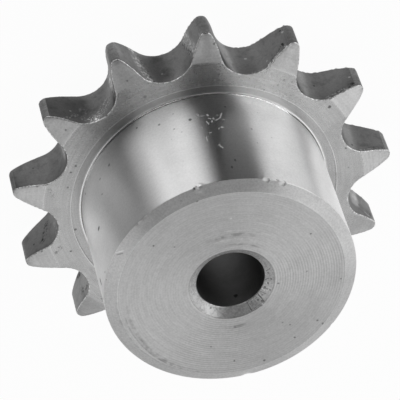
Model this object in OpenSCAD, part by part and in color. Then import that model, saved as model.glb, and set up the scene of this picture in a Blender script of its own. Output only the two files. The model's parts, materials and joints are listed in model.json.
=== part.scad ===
// Chain sprocket with a plain hub on one side, turned and hobbed from one steel bar.
// The origin is on the bore axis, halfway across the tooth width (the chain line).
// +Z runs along the bore towards the free end of the hub. All sizes are in millimetres.

/* [Chain] */
// Pitch of the roller chain
chain_pitch = 12.7; // [12.4:0.05:16]
// Diameter of the chain's rollers
roller_d = 8.51; // [7:0.01:9.5]

/* [Teeth] */
// Number of teeth
teeth = 13; // [12:1:40]
// Width of the toothed plate, which runs between the chain's inner links
tooth_w = 7; // [5:0.1:7.6]
// Height of the tooth tips above the pitch circle
tip_rise = 2.17; // [1.6:0.01:3.2]
// Angle of the roller seat at the bottom of each tooth gap
seat_angle = 125; // [114:1:133]
// Radius of the tooth flanks
flank_r = 15.5; // [13:0.1:23]
// Reach of the side bevel, measured inwards from the tip circle
bevel_reach = 4.35; // [1:0.05:5]
// Depth of the side bevel at the tip circle, on each side
bevel_depth = 1.25; // [0.3:0.05:2]

/* [Hub] */
// Diameter of the hub
hub_d = 37; // [24:0.5:38]
// Overall length, from the back of the plate to the end of the hub
overall_l = 28; // [16:0.5:60]
// Width of the chamfer on the end face of the hub
hub_chamfer_w = 1.8; // [0.3:0.05:3]
// Height of the chamfer down the side of the hub
hub_chamfer_h = 0.85; // [0.3:0.05:3]
// Width of the shallow turned relief around the root of the hub
relief_w = 1.6; // [0.8:0.05:1.8]
// Depth of the turned relief below the plate face
relief_depth = 0.3; // [0.1:0.05:1]
// Radius of the fillet between the relief and the hub
root_fillet = 0.5; // [0.1:0.05:0.75]

/* [Bore] */
// Diameter of the pilot bore
bore_d = 10; // [6:0.1:20]
// Width of the countersink around each end of the bore
countersink_w = 1.3; // [0.2:0.05:2.5]
// Depth of the countersink at each end of the bore
countersink_depth = 1.1; // [0.2:0.05:2.5]

/* [Hidden] */
$fn = 128;

// Standard proportion of the roller seat radius to the roller diameter
SEAT_RATIO = 0.505;
// How far the gap cutters pass through the faces and the tip circle
cut_over = 1;

tooth_step = 360 / teeth;
pitch_r = chain_pitch / (2 * sin(tooth_step / 2));
seat_r = SEAT_RATIO * roller_d;
tip_r = pitch_r + tip_rise;
bevel_r = tip_r - bevel_reach;

hub_r = hub_d / 2;
relief_r = hub_r + relief_w;
bore_r = bore_d / 2;
sink_r = bore_r + countersink_w;

back_z = -tooth_w / 2;
front_z = tooth_w / 2;
floor_z = front_z - relief_depth;
end_z = back_z + overall_l;

// Point that lies reach out from the roller centre, on the line where the seat meets the flank
function seat_line(reach) = [
    pitch_r - reach * cos(seat_angle / 2),
    reach * sin(seat_angle / 2)
];
// Reach at which that line crosses the middle of the tooth
mid_reach = pitch_r * tan(tooth_step / 2)
    / (sin(seat_angle / 2) + cos(seat_angle / 2) * tan(tooth_step / 2));
// Point on the middle line of the tooth, out past the tip circle
mid_far = (tip_r + cut_over) / cos(tooth_step / 2) * [cos(tooth_step / 2), sin(tooth_step / 2)];

function below(p) = [p.x, -p.y];

// Half section of the turned blank, before the teeth are cut
module blank_profile() {
    polygon([
        [sink_r, back_z],
        [bevel_r, back_z],
        [tip_r, back_z + bevel_depth],
        [tip_r, front_z - bevel_depth],
        [bevel_r, front_z],
        [relief_r, front_z],
        [relief_r, floor_z],
        [hub_r, floor_z],
        [hub_r, end_z - hub_chamfer_h],
        [hub_r - hub_chamfer_w, end_z],
        [sink_r, end_z],
        [bore_r, end_z - countersink_depth],
        [bore_r, back_z + countersink_depth]
    ]);
    root_fillet_profile();
}

// Concave corner between the floor of the relief and the side of the hub
module root_fillet_profile() {
    translate([hub_r, floor_z])
        difference() {
            square(root_fillet);
            translate([root_fillet, root_fillet]) circle(r = root_fillet);
        }
}

// One gap between two teeth: the round roller seat, and the space above it between the
// two flanks, which curve away from the seat as arcs tangent to it
module tooth_gap_profile() {
    translate([pitch_r, 0]) circle(r = seat_r);
    difference() {
        polygon([
            [pitch_r, 0],
            seat_line(mid_reach),
            mid_far,
            below(mid_far),
            below(seat_line(mid_reach))
        ]);
        for (side = [1, -1])
            scale([1, side]) translate(seat_line(seat_r + flank_r)) circle(r = flank_r);
    }
}

module tooth_gaps() {
    for (i = [0 : teeth - 1])
        rotate([0, 0, i * tooth_step])
            translate([0, 0, back_z - cut_over])
                linear_extrude(height = tooth_w + 2 * cut_over) tooth_gap_profile();
}

module sprocket() {
    color("silver")
        difference() {
            rotate_extrude() blank_profile();
            tooth_gaps();
        }
}

sprocket();
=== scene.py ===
"""Looks of a turned and hobbed chain sprocket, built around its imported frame."""

import json
import math

import bpy
import numpy as np
from mathutils import Matrix, Vector


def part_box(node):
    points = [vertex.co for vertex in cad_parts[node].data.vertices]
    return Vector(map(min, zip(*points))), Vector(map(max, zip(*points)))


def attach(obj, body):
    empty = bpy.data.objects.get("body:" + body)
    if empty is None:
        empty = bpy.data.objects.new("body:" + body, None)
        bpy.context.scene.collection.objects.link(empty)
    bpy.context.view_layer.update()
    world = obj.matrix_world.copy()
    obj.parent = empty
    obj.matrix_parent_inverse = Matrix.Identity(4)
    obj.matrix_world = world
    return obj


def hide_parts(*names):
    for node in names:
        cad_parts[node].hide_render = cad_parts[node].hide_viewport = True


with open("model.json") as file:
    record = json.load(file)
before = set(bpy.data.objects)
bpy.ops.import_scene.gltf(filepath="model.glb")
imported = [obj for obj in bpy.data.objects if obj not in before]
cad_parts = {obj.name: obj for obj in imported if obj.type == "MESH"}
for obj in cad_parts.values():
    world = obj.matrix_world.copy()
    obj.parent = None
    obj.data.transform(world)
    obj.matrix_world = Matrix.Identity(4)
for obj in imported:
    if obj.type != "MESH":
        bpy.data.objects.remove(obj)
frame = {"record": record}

bl_info = {
    "name": "Chain sprocket",
    "version": (1, 0, 0),
    "blender": (4, 5, 0),
    "location": "3D View > Sidebar > Sprocket",
    "description": "Dresses a hub sprocket in turned and hobbed steel and sets up its stage",
    "category": "Object",
}

MM = 0.001
NODE = "sprocket"
BODY = "root"
# Standard proportion of the roller seat radius to the roller diameter
SEAT_RATIO = 0.505
# Distance of the ring of points below the hub's chamfer, which the dents at the edge need
EDGE_RING = 1.3 * MM
# Reach of the fillet's curve over its ease, and width of the burnished rim over the edge break
FILLET_SPAN = 1.6
RIM_SPAN = 1.3
# Height of the turned zone at the tips of the teeth
TIP_ZONE = 0.6 * MM
FLANK_STEPS = 10
LOW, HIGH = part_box(NODE)
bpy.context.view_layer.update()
BORE_MOUNT = next(m for m in frame["record"]["mounts"] if m["name"] == "bore")


def length(name, text, metres):
    """A size in metres, as a property."""
    return bpy.props.FloatProperty(
        name=name, description=text, default=metres, unit="LENGTH", precision=5
    )


def angle(name, text, degrees):
    """An angle, as a property given in degrees."""
    return bpy.props.FloatProperty(
        name=name, description=text, default=math.radians(degrees), subtype="ANGLE"
    )


def share(name, text, value):
    """A share between nothing and all, as a property."""
    return bpy.props.FloatProperty(
        name=name, description=text, default=value, min=0.0, max=1.0, subtype="FACTOR"
    )


def count(name, text, value):
    """A whole number, as a property."""
    return bpy.props.IntProperty(name=name, description=text, default=value, min=1)


class SprocketSizes(bpy.types.PropertyGroup):
    """Driving sizes of the sprocket, as on its drawing."""

    teeth: count("Teeth", "Number of teeth", 13)
    chain_pitch: length("Chain pitch", "Pitch of the roller chain", 12.7 * MM)
    roller_d: length("Roller", "Diameter of the chain's rollers", 8.51 * MM)
    tooth_w: length("Tooth width", "Width of the toothed plate", -2 * LOW.z)
    tip_rise: length("Tip rise", "Height of the tips above the pitch circle", 2.17 * MM)
    seat_angle: angle("Seat angle", "Angle of the roller seat in each gap", 125)
    flank_r: length("Flank radius", "Radius of the tooth flanks", 15.5 * MM)
    bevel_reach: length("Bevel reach", "Reach of the side bevel below the tips", 4.35 * MM)
    bevel_depth: length("Bevel depth", "Depth of the side bevel at the tips", 1.25 * MM)
    hub_d: length("Hub diameter", "Diameter of the hub", 37 * MM)
    end_z: length("Hub end", "Height of the hub's end face above the chain line", HIGH.z)
    hub_chamfer_w: length("End chamfer width", "Width of the hub's end chamfer", 1.8 * MM)
    hub_chamfer_h: length("End chamfer height", "Height of the hub's end chamfer", 0.85 * MM)
    relief_w: length("Relief width", "Width of the relief round the hub's root", 1.6 * MM)
    relief_depth: length("Relief depth", "Depth of that relief", 0.3 * MM)
    root_fillet: length("Root fillet", "Reach of the fillet at the hub's root", 0.26 * MM)
    bore_r: length("Bore radius", "Radius of the pilot bore", BORE_MOUNT["dims"]["r_mm"] * MM)
    countersink_w: length("Countersink width", "Width of each countersink", 1.38 * MM)
    countersink_depth: length("Countersink depth", "Depth of each countersink", 1.1 * MM)
    edge_break: length("Edge break", "Size of the worn edges", 0.12 * MM)


class SteelLook(bpy.types.PropertyGroup):
    """Greys and wear of the steel."""

    turned_grey: share("Turned grey", "Grey of the faced and bevelled surfaces", 0.58)
    hub_grey: share("Hub grey", "Grey of the finely turned hub", 0.9)
    chamfer_grey: share("Chamfer grey", "Grey of the hub's end chamfer", 0.7)
    countersink_grey: share("Countersink grey", "Grey of the countersinks", 0.8)
    tip_grey: share("Tip grey", "Grey of the turned tips of the teeth", 0.42)
    # Darker partly as painted shade: the dark reflection in the tooth gaps
    hobbed_and_shade_grey: share("Hobbed grey", "Grey of the hobbed tooth flanks", 0.165)
    # Darker partly as painted shade inside the bore
    bore_and_shade_grey: share("Bore grey", "Grey of the drilled bore", 0.22)
    # Raised also as a painted highlight along the tooth edges, the hub's root and the relief's edge
    burr_and_highlight_grey: share("Burr grey", "Grey of the burrs along the tooth edges", 0.8)
    mark_depth: length("Mark depth", "Depth of the tool marks", 0.006 * MM)
    burr_height: length("Burr height", "Height of the burrs along the tooth edges", 0.13 * MM)
    rib_depth: length("Rib depth", "Depth of the chatter ribs in the countersink", 0.02 * MM)


BANDS = (
    "bore",
    "countersink",
    "end_face",
    "end_chamfer",
    "hub_side",
    "hub_root",
    "relief_floor",
    "relief_edge",
    "plate_face",
    "tooth_bevel",
    "tooth_edge",
    "tooth_flank",
    "tooth_tip",
)


def half_gap(s, seat_steps=14, flank_steps=13, tip_steps=4):
    """Outline from the middle of a gap on +X to the middle of the next tooth, as three arcs.

    The roller seat is the circle about the roller's centre on the pitch circle. The flank is
    the circle that touches the seat from outside, with its centre on the line from the
    roller's centre through the end of the seat. The tip is part of the tip circle.
    """
    half_step = math.pi / s.teeth
    pitch_r = s.chain_pitch / (2 * math.sin(half_step))
    seat_r = SEAT_RATIO * s.roller_d
    tip_r = pitch_r + s.tip_rise
    half_seat = s.seat_angle / 2
    turn = np.linspace(0, half_seat, seat_steps)
    seat = np.stack([pitch_r - seat_r * np.cos(turn), seat_r * np.sin(turn)], axis=1)
    reach = seat_r + s.flank_r
    centre = np.array([pitch_r - reach * math.cos(half_seat), reach * math.sin(half_seat)])
    away = math.hypot(*centre)
    # Law of cosines in the triangle of the axis, the flank's centre and the tip's corner
    cos_lean = (tip_r**2 - away**2 - s.flank_r**2) / (2 * away * s.flank_r)
    last = math.atan2(centre[1], centre[0]) - math.acos(cos_lean)
    turn = np.linspace(-half_seat, last, flank_steps)[1:]
    flank = centre + s.flank_r * np.stack([np.cos(turn), np.sin(turn)], axis=1)
    corner = math.atan2(flank[-1, 1], flank[-1, 0])
    turn = np.linspace(corner, half_step, tip_steps)[1:]
    tip = tip_r * np.stack([np.cos(turn), np.sin(turn)], axis=1)
    return np.concatenate([seat, flank, tip])


def tooth_outline(s):
    """Closed outline of all the teeth, counter-clockwise: the half gap mirrored and turned."""
    half = half_gap(s)
    gap = np.concatenate([half[:0:-1] * [1, -1], half[:-1]])
    turns = 2 * math.pi / s.teeth * np.arange(s.teeth)[:, None]
    x = gap[:, 0] * np.cos(turns) - gap[:, 1] * np.sin(turns)
    y = gap[:, 0] * np.sin(turns) + gap[:, 1] * np.cos(turns)
    outline = np.stack([x.ravel(), y.ravel()], axis=1)
    return eased(outline, rounds=4)


def eased(outline, rounds):
    """A closed outline with its corners eased: each point moves to the mean of its neighbours."""
    for _ in range(rounds):
        outline = (
            np.roll(outline, 1, axis=0) + 2 * outline + np.roll(outline, -1, axis=0)
        ) / 4
    return outline


def outward(outline):
    """Unit normals of a closed counter-clockwise outline, from the chord of both neighbours."""
    chord = np.roll(outline, -1, axis=0) - np.roll(outline, 1, axis=0)
    normal = np.stack([chord[:, 1], -chord[:, 0]], axis=1)
    return normal / np.linalg.norm(normal, axis=1, keepdims=True)


def bent(corner, before, after, ease, steps=4, close=0.35):
    """An eased corner: the quadratic curve that leaves one side and joins the next.

    One more point lies on each side close to the curve, to keep the shading of the sides flat.
    """
    back = (before - corner) / np.linalg.norm(before - corner)
    ahead = (after - corner) / np.linalg.norm(after - corner)
    start, stop = corner + ease * back, corner + ease * ahead
    u = np.linspace(0, 1, steps)[:, None]
    curve = (1 - u) ** 2 * start + 2 * u * (1 - u) * corner + u**2 * stop
    return np.concatenate([[start + close * ease * back], curve, [stop + close * ease * ahead]])


def turned_profile(corners):
    """Radius and height of a turned profile, with the band that each ring opens.

    Each corner is (radius, height, ease, steps to the next corner, band of that stretch).
    Corners become short curves and the stretches between them are divided evenly.
    """
    points = np.array([c[:2] for c in corners])
    ends = []
    for i, (_, _, ease, _, _) in enumerate(corners):
        if ease and 0 < i < len(corners) - 1:
            ends.append(bent(points[i], points[i - 1], points[i + 1], ease))
        else:
            ends.append(points[i : i + 1])
    rows, bands = [], []
    for i, (_, _, _, steps, band) in enumerate(corners):
        rows.append(ends[i])
        bands += [band] * len(ends[i])
        if i + 1 < len(corners):
            u = np.linspace(0, 1, steps + 1)[1:-1, None]
            rows.append(ends[i][-1] * (1 - u) + ends[i + 1][0] * u)
            bands += [band] * (steps - 1)
    return np.concatenate(rows), bands


def front_corners(s):
    """Corners of the turned side of the blank, from the back end of the bore to the plate face."""
    hub_r = s.hub_d / 2
    front_z = s.tooth_w / 2
    floor_z = front_z - s.relief_depth
    sink_r = s.bore_r + s.countersink_w
    side_z = s.end_z - s.hub_chamfer_h
    broken = s.edge_break
    return [
        (s.bore_r, -front_z + s.countersink_depth, 0, 7, "bore"),
        (s.bore_r, s.end_z - s.countersink_depth, broken, 6, "countersink"),
        (sink_r, s.end_z, broken, 12, "end_face"),
        (hub_r - s.hub_chamfer_w, s.end_z, broken / 3, 5, "end_chamfer"),
        (hub_r, side_z, broken / 2, 5, "hub_side"),
        (hub_r, side_z - EDGE_RING, 0, 12, "hub_side"),
        (hub_r, floor_z, s.root_fillet, 1, "hub_root"),
        (hub_r + FILLET_SPAN * s.root_fillet, floor_z, 0, 1, "relief_floor"),
        (hub_r + s.relief_w, floor_z, broken / 4, 1, "relief_floor"),
        (hub_r + s.relief_w, front_z, broken / 4, 1, "relief_edge"),
        (hub_r + s.relief_w + RIM_SPAN * broken, front_z, 0, 1, "relief_edge"),
    ]


def back_corners(s):
    """Corners of the plain back of the plate, from its rim to the back end of the bore."""
    back_z = -s.tooth_w / 2
    sink_r = s.bore_r + s.countersink_w
    return [
        (s.hub_d / 2, back_z, 0, 5, "plate_face"),
        (sink_r, back_z, s.edge_break, 4, "countersink"),
        (s.bore_r, back_z + s.countersink_depth, 0, 1, "bore"),
    ]


def revolved(profile, polar):
    """Rings of a turned profile: radius times (cos, sin) of each polar angle, at its height."""
    radius, height = profile[:, :1], profile[:, 1:]
    x = radius * np.cos(polar)
    y = radius * np.sin(polar)
    return np.stack([x, y, np.broadcast_to(height, x.shape)], axis=2)


def wavy(turn, seed, least, most, waves=24):
    """Smooth noise round a ring, about -1 to 1: a sum of sines of seeded pitch and phase.

    Each wave runs a whole number of times round, so that the noise closes on itself.
    """
    draw = np.random.default_rng(seed)
    runs = draw.integers(least, most, waves)[:, None]
    start = draw.uniform(0, 2 * math.pi, waves)[:, None]
    return np.sin(runs * turn + start).sum(axis=0) / math.sqrt(waves)


# Burrs: least and most waves of the coarse and of the fine noise round the outline, share of the
# coarse noise, seeds for the front and the back edge, and how far the peaks are raised and cut
COARSE_WAVES = (14, 50)
FINE_WAVES = (130, 360)
COARSE_SHARE = 0.5
FRONT_SEED = 5
BACK_SEED = 9
PEAK = 1.1
# Growth of the burr with the lean of the edge and the least share of it that is left, then its
# mean and swing round the wheel and the azimuth at which it is lightest
LEAN_GAIN = 1.2
LEAST_LEFT = 0.08
ROUND_MEAN = 0.55
ROUND_SWING = 0.45
CLEAN_SIDE = math.radians(50)
# Rings over the broken edge of the plate: how far in and how far down, as shares of the edge
# break, and the share of the burr that each carries
EDGE_RINGS = ((0.5, 0.1, 0.8), (0.12, 0.45, 1.0), (0, 1, 0.4))
# The bevel starts at least this many edge breaks inside the outline
BEVEL_KEEP = 3


def burr_line(look, outline, seed):
    """Height of the burr at each point of the outline: where coarse and fine noise add up.

    Only the peaks of the noise stand up, so that the burr is broken into short pieces. It is
    left on the side of each tooth where the cutter came out, which is where the outline's
    normal leans forward round the axis, and it is heaviest opposite the wheel's clean side.
    """
    turn = np.linspace(0, 2 * math.pi, len(outline), endpoint=False)
    rise = COARSE_SHARE * wavy(turn, seed, *COARSE_WAVES) + wavy(turn, seed + 1, *FINE_WAVES)
    normal = outward(outline)
    polar = np.arctan2(outline[:, 1], outline[:, 0])
    lean = normal[:, 1] * np.cos(polar) - normal[:, 0] * np.sin(polar)
    by_lean = np.clip(0.5 + LEAN_GAIN * lean, LEAST_LEFT, 1)
    left = by_lean * (ROUND_MEAN - ROUND_SWING * np.cos(polar - CLEAN_SIDE))
    return look.burr_height * left * np.clip(PEAK * rise, 0, PEAK)


def plate_rings(s, outline, burr, inner_r, steps, bevel_steps):
    """Rings across one side of the toothed plate, from a circle out to the broken edge.

    Points run straight from the circle to the start of the bevel and on to the outline moved
    inwards by the edge break. The height falls below the plate face by the slope of the bevel
    times how far a point lies outside the bevel's inner circle. The burr stands up along the
    edge.
    """
    polar = np.arctan2(outline[:, 1], outline[:, 0])
    spoke = np.stack([np.cos(polar), np.sin(polar)], axis=1)
    rim_r = np.linalg.norm(outline, axis=1)
    bevel_r = rim_r.max() - s.bevel_reach
    crease_r = np.minimum(bevel_r, rim_r - BEVEL_KEEP * s.edge_break)[:, None]
    normal = outward(outline)
    inset = outline - s.edge_break * normal
    inner = inner_r * spoke
    close = 0.06
    u = np.append(np.linspace(0, 1, steps)[:-1], 1 - close)[:, None, None]
    face = inner * (1 - u) + crease_r * spoke * u
    u = np.insert(np.linspace(0, 1, bevel_steps - 1), 1, close)[:, None, None]
    bevel = crease_r * spoke * (1 - u) + inset * u
    flat = np.concatenate([face, bevel])
    slope = s.bevel_depth / s.bevel_reach

    def fall(points):
        return slope * np.maximum(np.linalg.norm(points, axis=-1) - bevel_r, 0)

    height = s.tooth_w / 2 - fall(flat)
    rings = np.concatenate([flat, height[..., None]], axis=2)
    edge = []
    for out, down, lift in EDGE_RINGS:
        across = outline + (0.5 * lift * burr - s.edge_break * out)[:, None] * normal
        level = s.tooth_w / 2 - fall(outline) - s.edge_break * down + lift * burr
        edge.append(np.concatenate([across, level[:, None]], axis=1))
    bands = ["plate_face"] * steps + ["tooth_bevel"] * (bevel_steps - 1) + ["tooth_edge"] * 4
    return np.concatenate([rings, edge]), bands


# Dents by azimuth in degrees, then radius, height, size, depth and raised lip in millimetres.
# They are pushed in at a slant, from above and outside or, on the countersink, from inside. A
# depth below nothing makes a bump
DENTS = (
    (-81.0, 18.5, 23.65, 0.32, 0.12, 0.15),
    (-111.5, 18.5, 23.65, 0.22, 0.04, 0.07),
    (-118.5, 18.5, 23.65, 0.3, -0.1, 0.0),
    (91.8, 18.5, 23.65, 0.6, 0.14, 0.0),
    (-49.2, 18.5, 23.65, 0.3, 0.06, 0.02),
    (-53.2, 18.5, 23.65, 0.25, 0.05, 0.02),
    (139.0, 18.5, 23.65, 0.3, 0.06, 0.02),
    (128.2, 6.3, 24.5, 0.24, 0.06, 0.02),
)


# Where a dent's lip is highest, over the size of the dent, and the square of its spread
LIP_PLACE = 1.5
LIP_SPREAD = 0.18


def dented(grid, dents):
    """The grid with dents in it: each is a bell-shaped hollow with a bell-shaped ring round it."""
    for azimuth, radius, height, size, depth, lip in np.array(dents):
        turn = math.radians(azimuth)
        middle = np.array([radius * math.cos(turn), radius * math.sin(turn), height]) * MM
        side = 1 if radius * MM > HIGH.x / 2 else -1
        way = np.array([side * math.cos(turn), side * math.sin(turn), 1]) / math.sqrt(2)
        away = np.linalg.norm(grid - middle, axis=2) / (size * MM)
        ring = np.exp(-((away - LIP_PLACE) ** 2) / LIP_SPREAD)
        rise = lip * ring - depth * np.exp(-(away**2))
        grid = grid + rise[..., None] * MM * way
    return grid


def ribbed(grid, names, depth, first=108, last=196, pitch=5.4):
    """The grid with chatter ribs in the countersink, between two azimuths.

    The shift outwards is the depth times the sine of the azimuth over the pitch, faded to
    nothing at both azimuths and at both edges of the countersink.
    """
    rings = np.array([n == "countersink" for n in names]) & (grid[:, 0, 2] > 0)
    share_in = np.cumsum(rings) / rings.sum()
    fade = np.where(rings, np.sin(math.pi * share_in), 0)[:, None]
    azimuth = np.degrees(np.arctan2(grid[..., 1], grid[..., 0])) % 360
    middle, half = (first + last) / 2, (last - first) / 2
    inside = np.clip(3 - 3 * np.abs(azimuth - middle) / half, 0, 1)
    shift = depth * fade * inside * np.sin(2 * math.pi * azimuth / pitch)
    radius = np.linalg.norm(grid[..., :2], axis=2, keepdims=True)
    flat = grid[..., :2] * (1 + shift[..., None] / radius)
    return np.concatenate([flat, grid[..., 2:]], axis=2)


def sprocket_grid(s, look):
    """All the rings of the sprocket, as an array of rings by points, and the band of each ring.

    The rings follow the section once round: up the bore, out over the hub's end, down the
    hub, out over the plate, down the tooth flanks and back under the plate.
    """
    outline = tooth_outline(s)
    polar = np.arctan2(outline[:, 1], outline[:, 0])
    profile, bands = turned_profile(front_corners(s))
    front = revolved(profile, polar)
    burr = burr_line(look, outline, FRONT_SEED)
    plate, plate_bands = plate_rings(s, outline, burr, profile[-1, 0], steps=6, bevel_steps=6)
    burr = burr_line(look, outline, BACK_SEED)
    under, under_bands = plate_rings(s, outline, burr, s.hub_d / 2, steps=5, bevel_steps=5)
    under = under[::-1] * [1, 1, -1]
    under_bands = under_bands[-2::-1] + ["plate_face"]
    back_profile, back_bands = turned_profile(back_corners(s))
    back = revolved(back_profile, polar)
    u = np.linspace(0, 1, FLANK_STEPS + 1)[1:-1, None, None]
    flank = plate[-1] * (1 - u) + under[0] * u
    plate_bands[-1] = "tooth_flank"
    grid = np.concatenate([front[:-1], plate, flank, under[:-1], back[:-1]])
    names = (
        bands[:-1]
        + plate_bands
        + ["tooth_flank"] * len(flank)
        + under_bands[:-1]
        + back_bands[:-1]
    )
    return ribbed(dented(grid, DENTS), names, look.rib_depth), names


# Name of the piece's own map, which the tangents of the finish follow
MAP_NAME = "OFBake"


def grid_mesh(name, grid, names, bands):
    """A closed mesh from rings by points, joined both ways round, with a material per band.

    Each face joins a point to the next on its ring and on the ring after. On the map, U runs
    evenly round a ring, and V is the mean distance along the section, as a share of the whole,
    so that the finish follows the tool marks. Faces of the flanks near the tip circle are tips.
    """
    rings, points = grid.shape[:2]
    index = np.arange(rings * points).reshape(rings, points)
    ahead, beside = np.roll(index, -1, axis=0), np.roll(index, -1, axis=1)
    both = np.roll(ahead, -1, axis=1)
    faces = np.stack([index, ahead, both, beside], axis=2).reshape(-1, 4)
    mesh = bpy.data.meshes.new(name)
    mesh.vertices.add(rings * points)
    mesh.vertices.foreach_set("co", grid.astype(np.float32).ravel())
    mesh.loops.add(faces.size)
    mesh.loops.foreach_set("vertex_index", faces.astype(np.int32).ravel())
    mesh.polygons.add(len(faces))
    mesh.polygons.foreach_set("loop_start", np.arange(0, faces.size, 4, dtype=np.int32))
    kinds = np.array([bands.index(n) for n in names], dtype=np.int32)[:, None]
    radius = np.linalg.norm(grid[..., :2], axis=2)
    on_tip = (kinds == bands.index("tooth_flank")) & (radius > radius.max() - TIP_ZONE)
    kinds = np.where(on_tip, bands.index("tooth_tip"), kinds)
    mesh.polygons.foreach_set("material_index", kinds.astype(np.int32).ravel())
    mesh.polygons.foreach_set("use_smooth", np.ones(len(faces), dtype=bool))
    steps = np.linalg.norm(np.roll(grid, -1, axis=0) - grid, axis=2).mean(axis=1)
    far = np.concatenate([[0], np.cumsum(steps)]) / steps.sum()
    u = np.broadcast_to(np.arange(points) / points, (rings, points))
    next_u = u + 1 / points
    v = np.broadcast_to(far[:-1, None], (rings, points))
    next_v = np.broadcast_to(far[1:, None], (rings, points))
    corner_u = np.stack([u, u, next_u, next_u], axis=2)
    corner_v = np.stack([v, next_v, next_v, v], axis=2)
    layer = mesh.uv_layers.new(name=MAP_NAME)
    layer.data.foreach_set("uv", np.stack([corner_u, corner_v], axis=3).astype(np.float32).ravel())
    mesh.update(calc_edges=True)
    mesh.validate()
    return mesh


class Tree:
    """A node tree to which nodes are added ready joined."""

    def __init__(self, tree):
        self.tree = tree

    def add(self, kind, inputs=(), **settings):
        """A new node. Each input is a value or the socket that feeds it."""
        made = self.tree.nodes.new("ShaderNode" + kind)
        for key, value in settings.items():
            setattr(made, key, value)
        for key, value in dict(inputs).items():
            if isinstance(value, bpy.types.NodeSocket):
                self.tree.links.new(value, made.inputs[key])
            else:
                made.inputs[key].default_value = value
        return made

    def sum(self, operation, *values):
        """One step of arithmetic, as its output."""
        return self.add("Math", enumerate(values), operation=operation).outputs[0]

    def most(self, values):
        """The largest of several values."""
        found = values[0]
        for value in values[1:]:
            found = self.sum("MAXIMUM", found, value)
        return found

    def blend(self, below, above, mask):
        """A value that passes from one to another by a mask."""
        return self.sum("MULTIPLY_ADD", mask, self.sum("SUBTRACT", above, below), below)

    def vector(self, operation, *values, give=0, **named):
        """One step of vector arithmetic, as its output."""
        inputs = dict(enumerate(values)) | named
        return self.add("VectorMath", inputs, operation=operation).outputs[give]

    def ramp(self, value, low, high, to_low=0.0, to_high=1.0):
        """A value carried from one range to another, smoothly and held at both ends."""
        ends = {"Value": value, 1: low, 2: high, 3: to_low, 4: to_high}
        return self.add("MapRange", ends, interpolation_type="SMOOTHSTEP").outputs[0]

    def noise(self, place, scale, detail, roughness=0.5):
        """Noise from 0 to 1, as its output."""
        inputs = {"Vector": place, "Scale": scale, "Detail": detail, "Roughness": roughness}
        return self.add("TexNoise", inputs).outputs[0]

    def group(self, shared, **inputs):
        """The outputs of a shared group, with its inputs by name."""
        return self.add("Group", inputs, node_tree=shared()).outputs


VECTORS = ("Place", "Centre", "Start", "End")


def pattern(*takes):
    """Turns a function that joins nodes into one that gives them as a shared group.

    The group has the function's name and these inputs, and its outputs are what the function
    returns. It is built when it is first asked for.
    """

    def named(build):
        def shared():
            group = bpy.data.node_groups.get(build.__name__)
            if group is None:
                group = bpy.data.node_groups.new(build.__name__, "ShaderNodeTree")
                for title in takes:
                    kind = "NodeSocketVector" if title in VECTORS else "NodeSocketFloat"
                    group.interface.new_socket(title, in_out="INPUT", socket_type=kind)
                given = build(Tree(group), group.nodes.new("NodeGroupInput").outputs)
                for title in given:
                    group.interface.new_socket(title, in_out="OUTPUT", socket_type="NodeSocketFloat")
                sink = group.nodes.new("NodeGroupOutput").inputs
                for title, value in given.items():
                    group.links.new(value, sink[title])
            return group

        return shared

    return named


# How fast the marks of turning change round the axis, and how far their waves wander
ROUND_SCALE = 3.2
WANDER = 1.5
# Noise cells in a metre: for the ragged edge of a spot and for the gaps in a ring
RAG_SCALE = 2400.0
GAP_SCALE = 900.0


@pattern("Place", "Along", "Pitch")
def turned_marks(tree, source):
    """Marks of a turning tool: long marks that wander, and waves, one for each turn.

    The noise is read at the direction from the axis, and at the distance along the feed over
    its pitch, so that it is long round the axis and short across it.
    """
    way = tree.vector("NORMALIZE", tree.vector("MULTIPLY", source["Place"], (1, 1, 0)))
    laps = tree.sum("DIVIDE", source["Along"], source["Pitch"])
    across = tree.add("CombineXYZ", {"Z": laps}).outputs[0]
    place = tree.vector("MULTIPLY_ADD", way, (ROUND_SCALE, ROUND_SCALE, 0), across)
    drift = tree.noise(place, 1.0, detail=3.0, roughness=0.65)
    turn = tree.sum("MULTIPLY", laps, 2 * math.pi)
    phase = tree.sum("MULTIPLY_ADD", drift, WANDER, turn)
    wave = tree.sum("MULTIPLY_ADD", tree.sum("SINE", phase), 0.5, 0.5)
    return {"Drift": tree.ramp(drift, 0.3, 0.7), "Wave": wave}


@pattern("Place", "Size")
def grain(tree, source):
    """Fine even grain."""
    scale = tree.sum("DIVIDE", 1.0, source["Size"])
    return {"Grain": tree.ramp(tree.noise(source["Place"], scale, 2.0, 0.7), 0.25, 0.75)}


@pattern("Place", "Size")
def specks(tree, source):
    """Small ragged flecks where fine noise passes a level."""
    scale = tree.sum("DIVIDE", 1.0, source["Size"])
    return {"Mask": tree.ramp(tree.noise(source["Place"], scale, 3.0, 0.65), 0.49, 0.6)}


@pattern("Place", "Size")
def smears(tree, source):
    """Soft clouded patches where noise passes a level."""
    scale = tree.sum("DIVIDE", 1.0, source["Size"])
    return {"Mask": tree.ramp(tree.noise(source["Place"], scale, 4.0, 0.6), 0.45, 0.72)}


@pattern("Place", "Cell", "Share")
def pits(tree, source):
    """Small scattered pits: a share of the cells of a cell pattern has one in its middle."""
    scale = tree.sum("DIVIDE", 1.0, source["Cell"])
    cells = tree.add("TexVoronoi", {"Vector": source["Place"], "Scale": scale})
    near = tree.ramp(cells.outputs["Distance"], 0.1, 0.24, 1.0, 0.0)
    luck = tree.add("SeparateColor", {0: cells.outputs["Color"]}).outputs[0]
    picked = tree.sum("LESS_THAN", luck, source["Share"])
    return {"Mask": tree.sum("MULTIPLY", near, picked)}


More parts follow.
